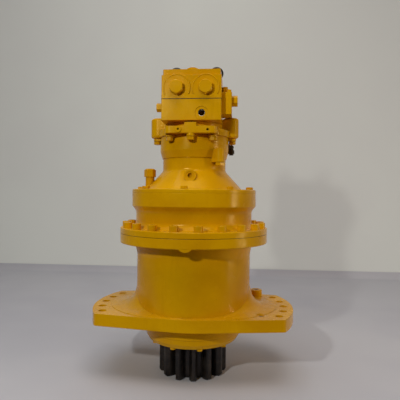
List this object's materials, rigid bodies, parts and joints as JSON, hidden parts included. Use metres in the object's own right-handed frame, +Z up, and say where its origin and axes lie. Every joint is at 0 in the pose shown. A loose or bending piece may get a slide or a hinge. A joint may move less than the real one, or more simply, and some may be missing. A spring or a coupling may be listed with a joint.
{
  "type": "swing gearbox",
  "caption": "Upright two-stage planetary gearbox with a lozenge mounting flange, output pinion below and a flanged hydraulic motor on top.",
  "frame": {"origin": "centre of the mounting flange's lower face, on the axis of the output pinion", "axes": "+Z up from the flange to the motor, X along the flange's long axis, -Y towards the relief valves and the oil port"},
  "size_m": [0.5849, 0.432, 0.911],
  "materials": {
    "yellow_paint": "gloss",
    "black_pinion": "satin",
    "steel": "satin",
    "bronze": "satin",
    "rubber": "matte",
    "iron": "matte",
    "dark_fitting": "satin"
  },
  "bodies": {
    "housing": {"main_case": "yellow_paint", "seal_cover": "yellow_paint", "seal_cover_bolts": "yellow_paint", "oil_seal": "rubber", "lower_bearing_cup": "steel", "upper_bearing_cup": "steel", "case_gasket": "rubber", "ring_housing": "yellow_paint", "case_bolts": "yellow_paint", "top_cover": "yellow_paint", "cover_bolts": "yellow_paint", "filler_cap": "yellow_paint", "socket_plugs": "yellow_paint", "motor_casing": "yellow_paint", "motor_bolts": "yellow_paint", "motor_seal": "rubber", "motor_bearing_cups": "steel", "swash_plate": "steel", "brake_plates": "steel", "brake_spring": "steel", "valve_plate": "bronze", "motor_cover": "yellow_paint", "flange_bolts": "yellow_paint", "valve_block": "yellow_paint", "relief_valves": "yellow_paint", "side_valve": "yellow_paint", "block_plug": "yellow_paint", "drain_fitting": "dark_fitting", "eye_bolts": "yellow_paint"},
    "output": {"pinion_shaft": "black_pinion", "lower_bearing_cone": "steel", "upper_bearing_cone": "steel", "bearing_spacer": "steel", "lock_nut": "steel", "output_carrier": "iron", "end_plate": "steel", "end_plate_bolts": "steel", "output_planet_pins": "steel", "output_thrust_washers": "bronze"},
    "output_planet_1": {"output_planet_1": "steel"},
    "output_planet_2": {"output_planet_2": "steel"},
    "output_planet_3": {"output_planet_3": "steel"},
    "output_planet_4": {"output_planet_4": "steel"},
    "input_stage": {"input_carrier": "iron", "input_planet_pins": "steel", "input_thrust_washers": "bronze", "output_sun": "steel"},
    "input_planet_1": {"input_planet_1": "steel"},
    "input_planet_2": {"input_planet_2": "steel"},
    "input_planet_3": {"input_planet_3": "steel"},
    "motor_drive": {"input_sun": "steel", "motor_shaft": "steel", "motor_bearing_cones": "steel", "cylinder_block": "steel", "pistons": "steel", "friction_discs": "bronze"},
    "lower_rollers": {"lower_bearing_rollers": "steel"},
    "upper_rollers": {"upper_bearing_rollers": "steel"},
    "motor_rollers": {"motor_bearing_rollers": "steel"},
    "brake": {"brake_piston": "steel"}
  },
  "joints": [
    {"name": "output_spin", "type": "hinge", "parent": "housing", "child": "output", "pos_m": [0, 0, -0.1], "axis": [0, 0, 1], "continuous": true},
    {"name": "output_planet_1_spin", "type": "hinge", "parent": "output", "child": "output_planet_1", "pos_m": [0.096, 0, 0.245], "axis": [0, 0, 1], "continuous": true},
    {"name": "output_planet_2_spin", "type": "hinge", "parent": "output", "child": "output_planet_2", "pos_m": [0, 0.096, 0.245], "axis": [0, 0, 1], "continuous": true},
    {"name": "output_planet_3_spin", "type": "hinge", "parent": "output", "child": "output_planet_3", "pos_m": [-0.096, 0, 0.245], "axis": [0, 0, 1], "continuous": true},
    {"name": "output_planet_4_spin", "type": "hinge", "parent": "output", "child": "output_planet_4", "pos_m": [0, -0.096, 0.245], "axis": [0, 0, 1], "continuous": true},
    {"name": "input_stage_spin", "type": "hinge", "parent": "housing", "child": "input_stage", "pos_m": [0, 0, 0.3], "axis": [0, 0, 1], "continuous": true},
    {"name": "input_planet_1_spin", "type": "hinge", "parent": "input_stage", "child": "input_planet_1", "pos_m": [0.09, 0, 0.325], "axis": [0, 0, 1], "continuous": true},
    {"name": "input_planet_2_spin", "type": "hinge", "parent": "input_stage", "child": "input_planet_2", "pos_m": [-0.045, 0.07794, 0.325], "axis": [0, 0, 1], "continuous": true},
    {"name": "input_planet_3_spin", "type": "hinge", "parent": "input_stage", "child": "input_planet_3", "pos_m": [-0.045, -0.07794, 0.325], "axis": [0, 0, 1], "continuous": true},
    {"name": "motor_spin", "type": "hinge", "parent": "housing", "child": "motor_drive", "pos_m": [0, 0, 0.5], "axis": [0, 0, 1], "continuous": true},
    {"name": "lower_cage_spin", "type": "hinge", "parent": "housing", "child": "lower_rollers", "pos_m": [0, 0, -0.004], "axis": [0, 0, 1], "continuous": true},
    {"name": "upper_cage_spin", "type": "hinge", "parent": "housing", "child": "upper_rollers", "pos_m": [0, 0, 0.12], "axis": [0, 0, 1], "continuous": true},
    {"name": "motor_cage_spin", "type": "hinge", "parent": "housing", "child": "motor_rollers", "pos_m": [0, 0, 0.54], "axis": [0, 0, 1], "continuous": true},
    {"name": "brake_release", "type": "slide", "parent": "housing", "child": "brake", "axis": [0, 0, 1], "range_m": [0, 0.002], "stiffness_N_per_m": 3000, "springref_m": -0.001, "deforming": ["brake_spring"]}
  ],
  "couplings": [
    {"joint": "output_planet_1_spin", "follows": "output_spin", "ratio": -3},
    {"joint": "output_planet_2_spin", "follows": "output_spin", "ratio": -3},
    {"joint": "output_planet_3_spin", "follows": "output_spin", "ratio": -3},
    {"joint": "output_planet_4_spin", "follows": "output_spin", "ratio": -3},
    {"joint": "input_stage_spin", "follows": "output_spin", "ratio": 4},
    {"joint": "input_planet_1_spin", "follows": "output_spin", "ratio": -10.667},
    {"joint": "input_planet_2_spin", "follows": "output_spin", "ratio": -10.667},
    {"joint": "input_planet_3_spin", "follows": "output_spin", "ratio": -10.667},
    {"joint": "motor_spin", "follows": "output_spin", "ratio": 20},
    {"joint": "lower_cage_spin", "follows": "output_spin", "ratio": 0.43448},
    {"joint": "upper_cage_spin", "follows": "output_spin", "ratio": 0.44897},
    {"joint": "motor_cage_spin", "follows": "output_spin", "ratio": 8.4962}
  ]
}
